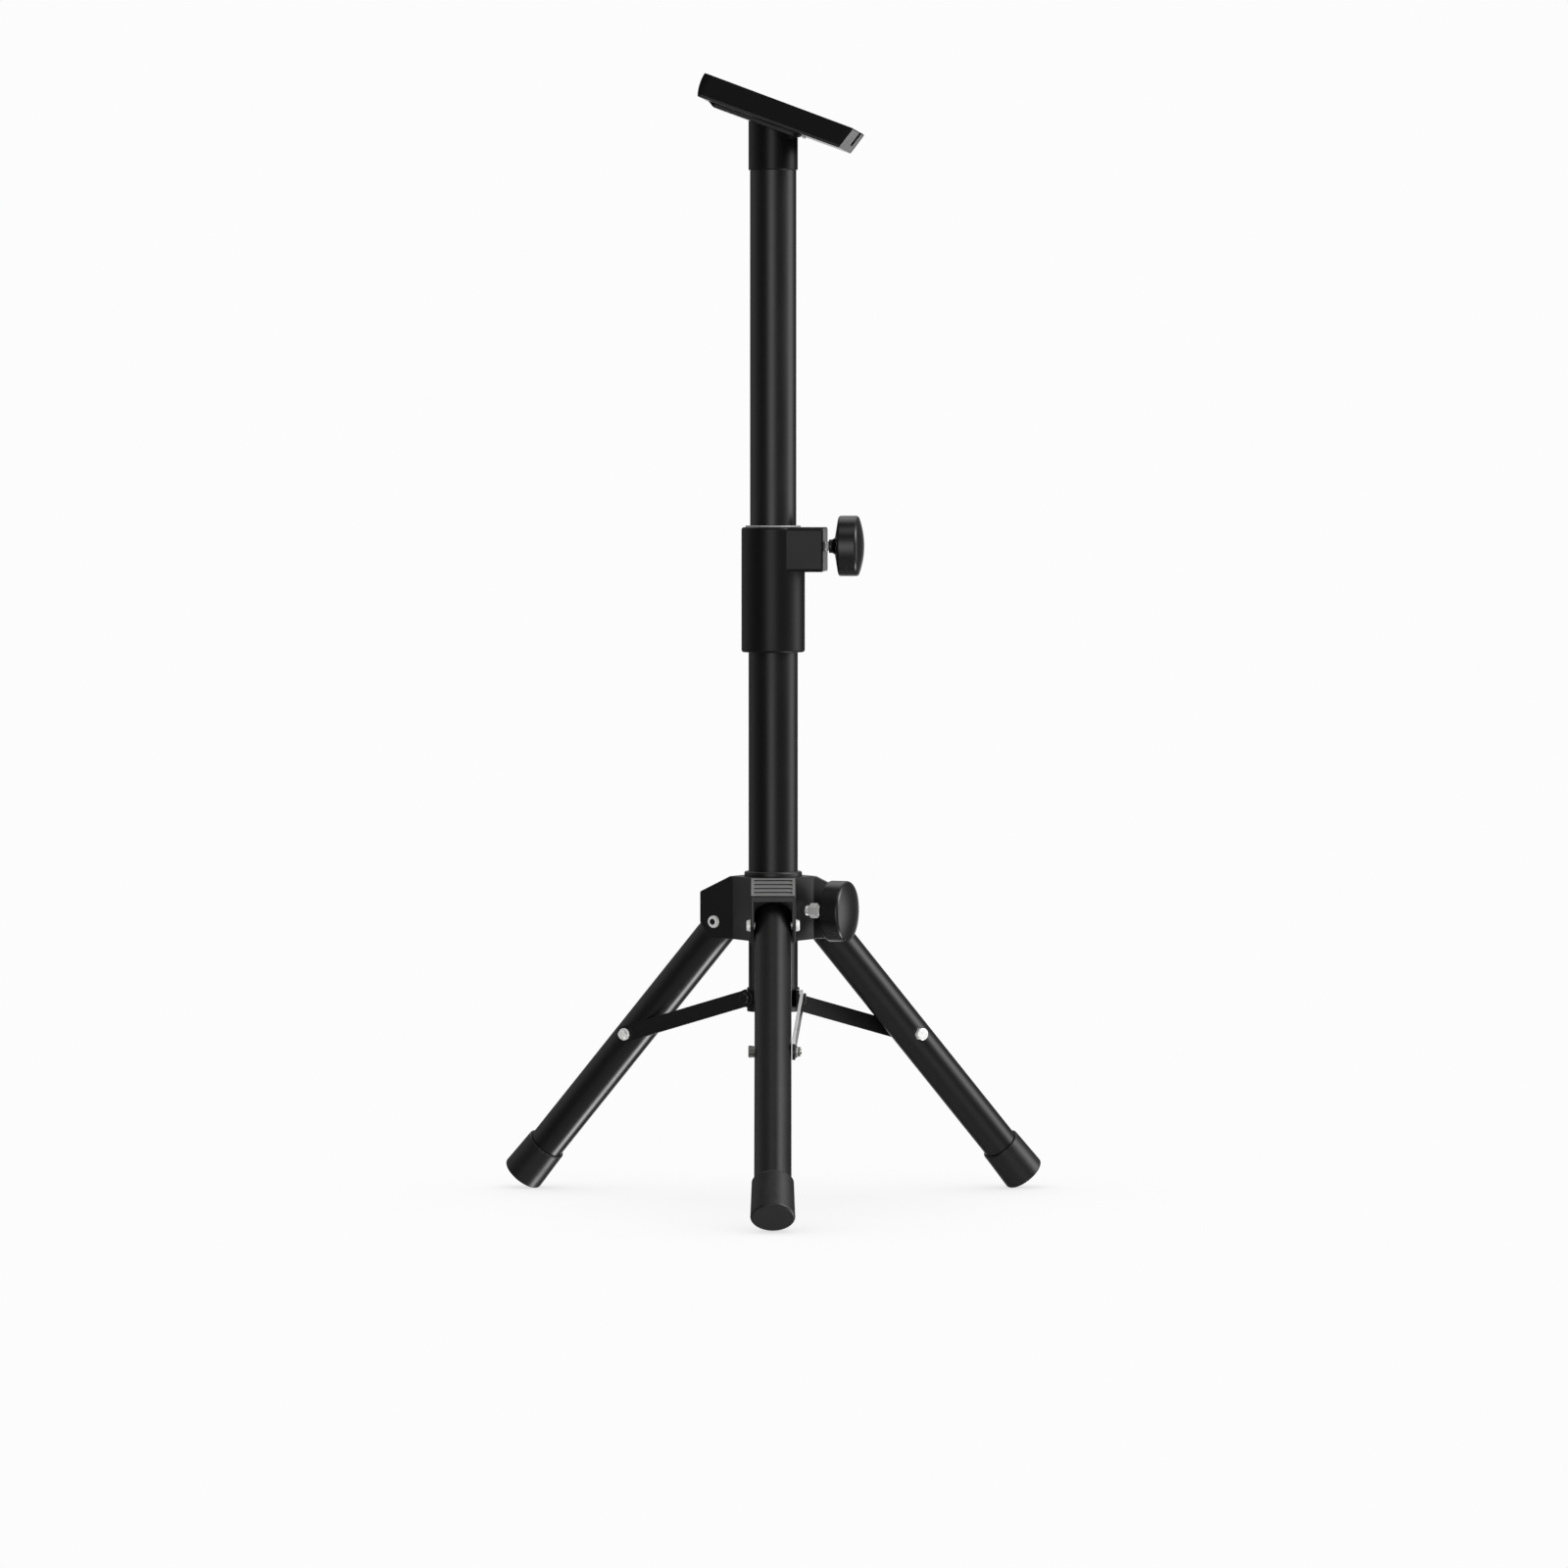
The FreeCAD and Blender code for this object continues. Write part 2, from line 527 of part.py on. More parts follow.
def brace_bar():
    """Flat bar with round ends, bent gently from the ear's plane in to the leg's side."""
    half = BRACE_WIDTH / 2
    near, far = BRACE_AT_EAR, BRACE_AT_LEG
    bend_start, bend_end = BRACE_END_FLAT, BRACE_LENGTH - BRACE_END_FLAT
    start, end = -half, BRACE_LENGTH + half
    side = outline([
        (start, near), (bend_start, near, BRACE_BEND), (bend_end, far, BRACE_BEND), (end, far),
        (end, far + BRACE_THICKNESS), (bend_end, far + BRACE_THICKNESS, BRACE_BEND),
        (bend_start, near + BRACE_THICKNESS, BRACE_BEND), (start, near + BRACE_THICKNESS)])
    side.rotate(CENTRE, Vector(1, 0, 0), -90)
    side.translate(Vector(0, 0, -half))
    bar = side.extrude(Vector(0, 0, BRACE_WIDTH))
    rounding = half * END_ROUNDING
    plan = slab([(start, -half, rounding), (end, -half, rounding), (end, half, rounding), (start, half, rounding)],
                4 * (near + BRACE_THICKNESS))
    bar = bar.common(plan)
    bar = bar.cut(cross_pin(BOLT_DIAMETER / 2 + RUNNING_FIT, 0, 2 * near, 0, 0))
    return set_on_brace(bar.cut(cross_pin(RIVET_DIAMETER / 2, 0, 2 * near, BRACE_LENGTH, 0)))


def brace_rivet():
    """Rivet head on the brace's outer face, over the leg's rivet."""
    outer = BRACE_AT_LEG + BRACE_THICKNESS
    shank = cross_pin(RIVET_DIAMETER / 2, BRACE_AT_LEG, outer, BRACE_LENGTH, 0)
    return set_on_brace(shank.fuse(domed_head(RIVET_HEAD_DIAMETER, RIVET_HEAD_HEIGHT, outer, 1, BRACE_LENGTH, 0)))


def underside(along):
    """Depth of the tray's underside, which is nearer to the top at the lower end."""
    share = (along + TRAY_LENGTH / 2 - TRAY_BACK_SETBACK) / (TRAY_LENGTH - TRAY_END_SETBACK - TRAY_BACK_SETBACK)
    return -TRAY_HIGH_END + (TRAY_HIGH_END - TRAY_LOW_END) * share


def underside_rise():
    """Angle between the tray's top and its underside."""
    return math.atan((TRAY_HIGH_END - TRAY_LOW_END) / (TRAY_LENGTH - TRAY_END_SETBACK - TRAY_BACK_SETBACK))


def tray_top_height():
    """Height of the middle of the tray's top, so that the pan clears the tube's lower side by the socket's ceiling."""
    tilt = math.radians(HEAD_TILT)
    depth = PAN_DEPTH - underside(0)
    reach = UPPER_RADIUS - TRAY_TOP_OFFSET + depth * math.sin(tilt)
    return UPPER_TOP + SOCKET_CEILING + reach * math.tan(tilt - underside_rise()) + depth * math.cos(tilt)


TRAY_TOP_HEIGHT = tray_top_height()


def set_on_head(shape):
    """Copy of a shape made under Z = 0 with +X down the slope, tilted, turned and raised onto the mast."""
    placed = shape.copy()
    placed.rotate(CENTRE, Vector(0, 1, 0), HEAD_TILT)
    placed.translate(Vector(TRAY_TOP_OFFSET, 0, TRAY_TOP_HEIGHT))
    placed.rotate(CENTRE, UP, HEAD_YAW)
    return placed


def head_tray():
    """Flat-topped tray with rounded corners and lower sides, a swelling upper end, and a notch in its undercut lower end."""
    half = TRAY_LENGTH / 2
    side = slab([
        (-half, 0), (half, 0), (half - TRAY_END_SETBACK, -TRAY_LOW_END),
        (-half + TRAY_BACK_SETBACK, -TRAY_HIGH_END, 0, -TRAY_BACK_BOW)], TRAY_WIDTH)
    plan = rounded_block(TRAY_LENGTH + 2 * TRAY_BACK_BOW, TRAY_WIDTH, 2 * TRAY_HIGH_END, TRAY_CORNER)
    plan.translate(Vector(0, 0, -1.5 * TRAY_HIGH_END))
    tray = side.common(plan).removeSplitter()
    tray = tray.makeFillet(TRAY_EDGE, edges_at(tray, 0))
    bar = rounded_block(4 * TRAY_HIGH_END, TRAY_WIDTH, 2 * TRAY_LENGTH, TRAY_LOWER_EDGE)
    bar = laid_along(bar, Vector(-TRAY_LENGTH, 0, 2 * TRAY_HIGH_END), Vector(1, 0, 0))
    bar.rotate(CENTRE, Vector(0, 1, 0), -math.degrees(underside_rise()))
    bar.translate(Vector(0, 0, underside(0)))
    tray = tray.common(bar)
    notch = Part.makeBox(NOTCH_LENGTH, NOTCH_WIDTH, NOTCH_DEPTH,
                         Vector(half - NOTCH_LENGTH, NOTCH_OFFSET - NOTCH_WIDTH / 2, -NOTCH_DEPTH))
    return set_on_head(tray.cut(notch))


def head_pan():
    """Shallow pan under the tray, from near its upper end to a little past the socket."""
    start = -TRAY_LENGTH / 2 + PAN_END_INSET
    tilt = math.radians(HEAD_TILT)
    at_socket = SOCKET_RADIUS - TRAY_TOP_OFFSET + (PAN_DEPTH - underside(0)) * math.sin(tilt)
    end = at_socket / math.cos(tilt) + PAN_PAST_SOCKET
    deep = start + PAN_END_SLOPE
    side = slab([
        (start, underside(start)), (end, underside(end)), (end, underside(end) - PAN_DEPTH, PAN_EDGE),
        (deep, underside(deep) - PAN_DEPTH, PAN_EDGE)], TRAY_WIDTH)
    plan = rounded_block(end - start, TRAY_WIDTH - 2 * PAN_SIDE_INSET, 2 * TRAY_HIGH_END, TRAY_CORNER)
    plan.translate(Vector((start + end) / 2, 0, -2 * TRAY_HIGH_END))
    return set_on_head(side.common(plan))


def head_socket():
    """Socket over the upper tube, cut off along the pan's underside."""
    bore = UPPER_RADIUS + RUNNING_FIT
    outer = SOCKET_RADIUS
    ceiling = UPPER_TOP + SEAT_GAP
    shape = turned_profile([
        (0, ceiling), (bore, ceiling), (bore, SOCKET_BOTTOM), (outer, SOCKET_BOTTOM, SOCKET_EDGE),
        (outer, TRAY_TOP_HEIGHT), (0, TRAY_TOP_HEIGHT)])
    low, high = -TRAY_LENGTH, TRAY_LENGTH
    above = slab([(low, underside(low) - PAN_DEPTH), (high, underside(high) - PAN_DEPTH), (high, TRAY_LENGTH),
                  (low, TRAY_LENGTH)], 2 * TRAY_WIDTH)
    return shape.cut(set_on_head(above))


def main():
    os.makedirs("parts", exist_ok=True)
    save("hub_body", hub_body())
    save("hub_ring", hub_ring())
    save("hub_knob", knob(HUB_KNOB_STEM_START, HUB_KNOB_STEM_LENGTH, HUB_KNOB_AZIMUTH, HUB_KNOB_HEIGHT))
    save("hub_screw", knob_screw(LOWER_RADIUS + SEAT_GAP, HUB_KNOB_STEM_START, HUB_KNOB_AZIMUTH, HUB_KNOB_HEIGHT))
    save("lower_tube", tube(LOWER_RADIUS, LOWER_RADIUS - TUBE_WALL, LOWER_BOTTOM, LOWER_TOP))
    save("clamp_collar", clamp_collar())
    save("clamp_bush", clamp_bush())
    clamp_stem = BOSS_REACH + CLAMP_KNOB_GAP
    save("clamp_knob", knob(clamp_stem, CLAMP_KNOB_STEM_LENGTH, CLAMP_AZIMUTH, CLAMP_KNOB_HEIGHT))
    save("clamp_screw", knob_screw(UPPER_RADIUS + SEAT_GAP, clamp_stem, CLAMP_AZIMUTH, CLAMP_KNOB_HEIGHT))
    save("brace_collar", brace_collar())
    save("upper_tube", tube(UPPER_RADIUS, UPPER_RADIUS - TUBE_WALL, UPPER_BOTTOM, UPPER_TOP))
    save("head_tray", head_tray())
    save("head_pan", head_pan())
    save("head_socket", head_socket())
    leg_pieces = {
        "leg_tube": leg_tube(), "foot_cap": foot_cap(), "leg_rivet": leg_rivet(), "leg_pivot_bolt": pivot_bolt(),
        "brace_bar": brace_bar(), "brace_rivet": brace_rivet(), "brace_pivot": brace_pivot()}
    for place, azimuth in LEG_AZIMUTHS.items():
        for name, shape in leg_pieces.items():
            save(name + "_" + place, swung(shape, azimuth))


main()
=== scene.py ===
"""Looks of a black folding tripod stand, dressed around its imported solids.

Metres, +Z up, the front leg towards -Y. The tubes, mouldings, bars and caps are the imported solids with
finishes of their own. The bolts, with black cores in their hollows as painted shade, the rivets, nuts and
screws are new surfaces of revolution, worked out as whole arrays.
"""
import json
import math
import bpy
import numpy as np
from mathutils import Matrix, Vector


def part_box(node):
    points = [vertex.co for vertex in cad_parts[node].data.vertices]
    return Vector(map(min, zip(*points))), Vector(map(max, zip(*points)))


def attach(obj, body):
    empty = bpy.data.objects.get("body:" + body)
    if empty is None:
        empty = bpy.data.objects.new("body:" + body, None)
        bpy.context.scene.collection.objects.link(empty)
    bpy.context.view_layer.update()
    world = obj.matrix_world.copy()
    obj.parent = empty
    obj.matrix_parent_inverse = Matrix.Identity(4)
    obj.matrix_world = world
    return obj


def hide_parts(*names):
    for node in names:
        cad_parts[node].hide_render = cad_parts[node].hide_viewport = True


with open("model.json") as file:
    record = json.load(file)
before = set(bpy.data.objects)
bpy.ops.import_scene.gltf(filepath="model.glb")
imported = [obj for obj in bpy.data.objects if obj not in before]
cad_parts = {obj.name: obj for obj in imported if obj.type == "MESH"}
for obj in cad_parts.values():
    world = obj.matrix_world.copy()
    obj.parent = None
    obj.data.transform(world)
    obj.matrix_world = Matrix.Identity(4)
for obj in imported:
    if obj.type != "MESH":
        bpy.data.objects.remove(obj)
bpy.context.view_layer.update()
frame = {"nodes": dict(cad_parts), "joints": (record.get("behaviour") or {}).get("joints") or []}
NODES = frame["nodes"]
JOINTS = {joint["name"]: joint for joint in frame["joints"]}
MM = 0.001
LEGS = ("front", "right", "left")

# Camera, as the photograph was taken
PHOTO_PIXELS = 1600
FOCAL_PIXELS = 7295.0
SENSOR_MM = 36.0
CAMERA_DISTANCE = 5.5        # from the mast
CAMERA_HEIGHT = 0.556
CAMERA_SIDE = 0.0083         # to the right of the mast
CAMERA_PITCH = 2.43          # degrees downwards
CAMERA_SIGHT = 100.0         # how far it sees

# Pivot bolts of the hub, in millimetres
BOLT_SEAT = 17.4             # from a leg's middle plane to its bolt's heads
BOLT_RADIUS = 3.0
BOLT_HEAD_RADIUS = 4.8
BOLT_HEAD_HEIGHT = 3.0
BOLT_HOLLOW = 2.9            # radius
BOLT_SHADE_RADIUS = 2.7       # of the black core in each hollow, painted shade
BOLT_SHADE_DEPTH = 0.55       # below the heads' rims

# Form of a bolt's head, as shares of its height, its radius or its hollow's radius
WASHER_TOP = 0.28            # of the height
WASHER_BEVEL = (0.8, 0.97)   # of the washer's height, and of the radius
HEAD_WALL = 0.86             # of the radius
HEAD_ROUND = (0.36, 0.30)    # half axes of the round at the rim: of the height, and of the radius
HEAD_ROUND_MIDDLE = 0.58     # of the radius
HOLLOW_LIP = (0.08, 0.92)    # below the rim as a share of the height, and of the hollow's radius
HOLLOW_FLOOR = (0.34, 0.62)  # the same for the floor's rim
HOLLOW_MIDDLE = 0.1          # of the hollow's radius

# Rivets through the legs and their nuts on the braces, in millimetres
LEG_SPLAY = 42.0             # degrees
LEG_RIVET_AT = 121.4         # along a leg, from its pivot
LEG_RADIUS = 14.0
RIVET_RADIUS = 2.5
RIVET_HEAD_FLATS = 8.2       # across
RIVET_HEAD_HEIGHT = 4.6      # past the tube
RIVET_DIMPLE = (1.1, 0.77)   # radius at the top, and at the floor
RIVET_END = 0.6              # past the nut
RIVET_END_RADII = (2.0, 1.625)   # where it leaves the nut, and at its end
BRACE_FACES = (14.4, 16.9)   # of a brace at its leg, from the leg's middle plane
NUT_FLANGE_RADIUS = 4.7
NUT_FLANGE_HEIGHT = 1.5
NUT_FLANGE_SLOPE = 0.1       # rise of the flange's top from its bevel to the nut
NUT_FLANGE_BEVEL = 0.4
BRACE_NUT_FLATS = 7.0
BRACE_NUT_HEIGHT = 4.2
NUT_CHAMFER = 0.7            # height, on every nut and on the rivets' heads
NUT_TOP = 0.82               # of the corners' radius, left inside the chamfer

# Screws of the knobs, in millimetres along a knob's axis from the mast's
SCREW_REACHES = {"clamp": (18.1, 52.3), "hub": (19.3, 49.0)}
SCREW_RADIUS = 4.0
SCREW_CHAMFER = 0.8
THREAD_PITCH = 1.25
THREAD_DEPTH = 0.55
THREAD_RINGS = 10            # in one turn of the thread
HUB_NUT = (30.6, 37.4)
HUB_NUT_FLATS = 10.0         # across
HUB_NUT_TOP = 0.86           # of the corners' radius, left inside the chamfer

# Fineness of the new surfaces
BOLT_SIDES = 64
NUT_SIDES = 60               # a multiple of six
SCREW_SIDES = 48
ROUND_STEPS = 8
SHARP_ANGLE = 32.0           # degrees between faces, past which an edge is sharp
THREAD_SHARP_ANGLE = 60.0
SAME_PLACE = 0.01            # millimetres within which two places count as one
SIXTH = math.pi / 3

# Studio
PAPER_WHITE = 0.974          # linear, seen by the camera
FLOOR_TONE = 0.80
FLOOR_ROUGHNESS = 0.9
FLOOR_SHADOW = 0.35          # depth of the soft shadow where a piece meets the floor
FLOOR_SHADOW_REACH = 0.22
FLOOR_SIZE = 30.0
ROOM_DIM = 0.075             # walls of the room away from its lights
SCATTER_GAIN = 2.2           # scattered light in a white room, against what gloss shows of it
# Soft lights of the room: degrees to the right of the camera, degrees up, spread in degrees, strength
ROOM_LIGHTS = (
    (-8.0, 4.0, 11.0, 1.95),     # tall softbox by the camera
    (-8.0, -14.0, 11.0, 1.1),
    (97.0, 0.0, 12.0, 1.95),     # tall softbox to the right
    (96.0, -20.0, 11.0, 1.8),
    (93.0, 21.0, 9.0, 1.7),
    (-108.0, 8.0, 20.0, 0.34),   # weak fill from the left
    (177.0, -6.0, 5.0, 3.0),     # backdrop
    (178.0, -18.0, 10.0, 1.9),
    (180.0, 52.0, 18.0, 1.3),
    (-12.0, 62.0, 9.0, 1.2),     # overhead
    (76.0, 52.0, 8.0, 2.5),
    (74.0, 29.0, 10.0, 9.0),
    (60.0, 38.0, 8.0, 6.0),
    (0.0, 90.0, 30.0, 0.10),
    (92.0, -59.0, 7.0, 17.5),    # through the floor
    (26.0, -30.0, 16.0, 0.5),
    (0.0, -85.0, 25.0, 0.4),
)

# What the finishes share: limits of their masks, and shares
EDGE_LIMITS = (0.02, 0.30)   # one less the cosine between the eased and the plain normal
BEVEL_SAMPLES = 6
TONE_SHARES = (0.35, 0.65)   # of the fine and of the broad noise
SMUDGE_LIMITS = (0.42, 0.72)
SMUDGE_ROUGHNESS = 1.18      # times the plain roughness
DUST_SLOPE_LIMITS = (0.45, 0.98)   # height part of the normal
DUST_PATCH_LIMITS = (0.30, 0.75)
DUST_SCALE = 160.0
DUST_ROUGHNESS = 0.6         # added under full dust
DUST_COLOUR = (0.15, 0.145, 0.14)
RUBBED_GREY = (0.030, 0.030, 0.0305)

# Finishes, with the grain's depth and the edges' radius in millimetres. A painted highlight, a paler colour
# standing in for the light that faces of one slope catch, goes on the faces whose normal rises by the first
# number, within the second.
TUBE_LACQUER = dict(
    colour=(0.0042, 0.0042, 0.0041), tone=0.10, roughness=0.28, grain=650.0, depth=0.012, edge=0.5)
HEAD_MOULDING = dict(tone=0.12, roughness=0.24, grain=1500.0, depth=0.012, edge=0.7)
FINISH_VALUES = {
    "tube lacquer": TUBE_LACQUER,
    "outer tube lacquer": dict(TUBE_LACQUER, specular=0.34),
    # The bars' pale colour on faces of the braces' slope is a painted highlight along their upper edges.
    "bar lacquer": dict(
        colour=(0.0036, 0.0036, 0.0035), tone=0.12, roughness=0.38, grain=700.0, depth=0.020, edge=0.5,
        wear=0.45, dust=0.06, painted_highlight=(0.961, 0.02, (0.52, 0.52, 0.515))),
    # The hub's paler colour on faces of its roofs' slope is a painted highlight, standing in for the light the
    # roofs catch.
    "hub moulding": dict(
        colour=(0.0040, 0.0041, 0.0040), tone=0.12, roughness=0.36, grain=1500.0, depth=0.022, edge=0.7,
        wear=0.40, dust=0.08, painted_highlight=(0.906, 0.04, (0.14, 0.14, 0.138))),
    "clamp moulding": dict(
        colour=(0.0040, 0.0041, 0.0040), tone=0.12, roughness=0.30, grain=1500.0, depth=0.022, edge=0.7,
        wear=0.40, dust=0.06, specular=0.22),
    "knob moulding": dict(
        colour=(0.0038, 0.0039, 0.0038), tone=0.10, roughness=0.26, grain=1700.0, depth=0.006, edge=1.6,
        dust=0.06),
    "head moulding": dict(HEAD_MOULDING, colour=(0.0040, 0.0041, 0.0040), specular=0.20),
    # The tray's lighter colour on down-facing faces is a painted highlight on its end face and along its lower
    # edge.
    "tray moulding": dict(
        HEAD_MOULDING, colour=(0.0064, 0.0065, 0.0064), specular=0.004,
        painted_highlight=(-0.62, 0.28, (0.025, 0.025, 0.025))),
    # The bush's light grey colour and lighter rubbed colour are painted sheen standing in for the highlights
    # on its dark lip.
    "bush moulding with painted sheen": dict(
        colour=(0.28, 0.28, 0.28), tone=0.10, roughness=0.24, grain=1400.0, depth=0.010, edge=0.6,
        rubbed=(0.36, 0.36, 0.36), wear=0.3),
    "foot rubber": dict(
        colour=(0.0062, 0.0062, 0.0061), tone=0.16, roughness=0.36, grain=1100.0, depth=0.020, edge=0.9,
        wear=0.50, dust=0.10),
    "bright zinc": dict(
        colour=(0.86, 0.86, 0.85), tone=0.10, roughness=0.30, grain=900.0, depth=0.012, edge=0.3,
        rubbed=(0.85, 0.85, 0.84), wear=0.3, dust=0.02, metallic=0.35),
    # A darker copy of the same zinc: painted shade on the front leg's rivet and nut.
    "zinc with painted shade": dict(
        colour=(0.24, 0.24, 0.235), tone=0.15, roughness=0.26, grain=900.0, depth=0.012, edge=0.3,
        rubbed=(0.40, 0.40, 0.39), wear=0.4, dust=0.02, metallic=0.9),
}
NODE_FINISHES = {
    "hub_body": "hub moulding", "hub_ring": "hub moulding", "clamp_collar": "clamp moulding",
    "hub_knob": "knob moulding", "clamp_knob": "knob moulding", "clamp_bush": "bush moulding with painted sheen",
    "head_tray": "tray moulding", "head_pan": "head moulding", "head_socket": "head moulding",
    "lower_tube": "outer tube lacquer", "upper_tube": "tube lacquer", "brace_collar": "bar lacquer",
    "hub_screw": "bright zinc", "clamp_screw": "bright zinc",
}
LEG_NODE_FINISHES = {
    "leg_tube": "tube lacquer", "foot_cap": "foot rubber", "brace_bar": "bar lacquer",
    "brace_pivot": "bar lacquer", "leg_pivot_bolt": "bright zinc", "leg_rivet": "bright zinc",
    "brace_rivet": "bright zinc",
}


def mast_middle():
    """Middle line of the mast in the level plane, from the lower tube's box."""
    low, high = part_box("lower_tube")
    return (low.x + high.x) / 2, (low.y + high.y) / 2


MAST_X, MAST_Y = mast_middle()


# Surfaces of revolution

def frame_of(axis):
    """Unit axis with two unit directions square to it and to each other."""
    along = np.asarray(axis, float) / np.linalg.norm(axis)
    helper = np.array([0.0, 0.0, 1.0]) if abs(along[2]) < 0.9 else np.array([1.0, 0.0, 0.0])
    side = np.cross(helper, along)
    side /= np.linalg.norm(side)
    return along, side, np.cross(along, side)


def mesh_piece(name, points, faces, material, body, slot, sharp_angle=SHARP_ANGLE):
    """New piece from arrays of points and faces, with smooth faces and sharp edges past an angle."""
    mesh = bpy.data.meshes.new(name)
    mesh.from_pydata(points.tolist(), [], faces)
    mesh.polygons.foreach_set("use_smooth", np.ones(len(mesh.polygons), bool))
    mesh.set_sharp_from_angle(angle=math.radians(sharp_angle))
    mesh.update()
    piece = bpy.data.objects.new(name, mesh)
    bpy.context.scene.collection.objects.link(piece)
    mesh.materials.append(material)
    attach(piece, body)
    return piece


def lathe(profile, base, axis, around, radius_change=None):
    """Closed surface of revolution.

    The profile is rows of (distance along the axis, radius), from one point on the axis to another. Ring k of
    the surface has its row's radius, plus radius_change(distance, angle) where a thread or flats are wanted,
    and the two end points close it.
    """
    profile = np.asarray(profile, float)
    along, side, other = frame_of(axis)
    turns = np.linspace(0.0, 2 * math.pi, around, endpoint=False)
    rings = profile[1:-1]
    distance, angle = np.meshgrid(rings[:, 0], turns, indexing="ij")
    radius = np.repeat(rings[:, 1:2], around, axis=1)
    if radius_change is not None:
        radius = radius + radius_change(distance, angle)
    ring_points = (np.asarray(base, float) + distance[..., None] * along
                   + radius[..., None] * (np.cos(angle)[..., None] * side + np.sin(angle)[..., None] * other))
    ends = np.asarray(base, float) + profile[[0, -1], 0][:, None] * along
    points = np.vstack([ring_points.reshape(-1, 3), ends])
    count = len(rings)
    here = np.arange(around)
    ahead = (here + 1) % around
    row = np.arange(count - 1)[:, None] * around
    quads = np.stack([row + here, row + ahead, row + around + ahead, row + around + here], axis=-1)
    first, last = count * around, count * around + 1
    start_cap = np.stack([np.full(around, first), ahead, here], axis=-1)
    top = (count - 1) * around
    end_cap = np.stack([np.full(around, last), top + here, top + ahead], axis=-1)
    return points, quads.reshape(-1, 4).tolist() + start_cap.tolist() + end_cap.tolist()


def quarter_round(centre, radii):
    """Quarter of an ellipse as profile rows, from its widest ring to its far end.

    Distance is the centre's plus one half axis times the sine of the angle, radius the centre's plus the other
    half axis times the cosine.
    """
    angle = np.radians(np.linspace(0.0, 90.0, ROUND_STEPS))
    return np.stack([centre[0] + radii[0] * np.sin(angle), centre[1] + radii[1] * np.cos(angle)], axis=1)


def mirrored(profile):
    """The same profile on the other side, in reverse order, so that two halves make one closed run."""
    return profile[::-1] * [-1.0, 1.0]


def thread(distance, angle):
    """Change of radius of a right-handed thread: triangle wave of distance in pitches less angle in turns."""
    turn = distance / (THREAD_PITCH * MM) - angle / (2 * math.pi)
    return -THREAD_DEPTH * MM * np.abs(2 * (turn - np.floor(turn + 0.5)))


def corner_radius(flats):
    """Radius of a six-sided form's corners, from its width across flats."""
    return flats / math.sqrt(3)


def six_sided(flats, stretch, turn=0.0):
    """Change from round to six-sided on one stretch of the axis, with a corner at the angle of turn.

    A flat's radius is half the width across flats over the cosine of the angle from the middle of that flat.
    """
    low, high = stretch

    def change(distance, angle):
        from_flat = (angle - turn) % SIXTH - SIXTH / 2
        inwards = flats / 2 * MM / np.cos(from_flat) - corner_radius(flats) * MM
        within = (distance > (low - SAME_PLACE) * MM) & (distance < (high + SAME_PLACE) * MM)
        return np.where(within, inwards, 0.0)

    return change


# Bolts, rivets, nuts and screws

def leg_frame(leg):
    """Pivot of a leg, its direction down the tube and the direction across its plane, towards its brace."""
    joint = JOINTS["leg_" + leg + "_swing"]
    pivot = np.asarray(joint["pos_m"], float)
    across = np.asarray(joint["axis"], float)
    outward = np.cross(across, [0.0, 0.0, 1.0])
    splay = math.radians(LEG_SPLAY)
    return pivot, outward * math.sin(splay) - np.array([0.0, 0.0, math.cos(splay)]), across


def bolt_head():
    """Half profile of a pivot bolt's head, from its seat outwards: washer, rounded rim, then the hollow."""
    seat, radius, height = BOLT_SEAT, BOLT_HEAD_RADIUS, BOLT_HEAD_HEIGHT
    rim = seat + height
    washer = seat + WASHER_TOP * height
    bevel_height, bevel_radius = WASHER_BEVEL
    round_axes = (HEAD_ROUND[0] * height, HEAD_ROUND[1] * radius)
    lip_depth, lip_radius = HOLLOW_LIP
    floor_depth, floor_radius = HOLLOW_FLOOR
    floor = rim - floor_depth * height
    return np.vstack([
        [[seat, radius], [seat + bevel_height * WASHER_TOP * height, radius]],
        [[washer, bevel_radius * radius], [washer, HEAD_WALL * radius]],
        quarter_round((rim - round_axes[0], HEAD_ROUND_MIDDLE * radius), round_axes),
        [[rim, BOLT_HOLLOW], [rim - lip_depth * height, lip_radius * BOLT_HOLLOW]],
        [[floor, floor_radius * BOLT_HOLLOW], [floor, HOLLOW_MIDDLE * BOLT_HOLLOW], [floor, 0.0]]])


def pivot_bolts(finish_of):
    """Hollow bolt across each arm of the hub, with a washer and a head at both ends, and a black core as
    painted shade.
    """
    head = bolt_head()
    shank = [[-BOLT_SEAT, BOLT_RADIUS], [BOLT_SEAT, BOLT_RADIUS]]
    profile = np.vstack([mirrored(head), shank, head]) * MM
    # A black lacquer core in each bolt's hollow stands in for the shade inside it: painted shade.
    reach = BOLT_SEAT + BOLT_HEAD_HEIGHT - BOLT_SHADE_DEPTH
    core = np.array([[-reach, 0.0], [-reach, BOLT_SHADE_RADIUS], [reach, BOLT_SHADE_RADIUS], [reach, 0.0]]) * MM
    for leg in LEGS:
        pivot, _, across = leg_frame(leg)
        bolt = lathe(profile, pivot, across, BOLT_SIDES)
        piece = mesh_piece("pivot_bolt_" + leg, *bolt, finish_of["bright zinc"], "hub", "zinc")
        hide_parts("leg_pivot_bolt_" + leg)
        inside = lathe(core, pivot, across, BOLT_SIDES)
        mesh_piece("pivot_bolt_painted_shade_" + leg, *inside, finish_of["bar lacquer"], "hub", "zinc")


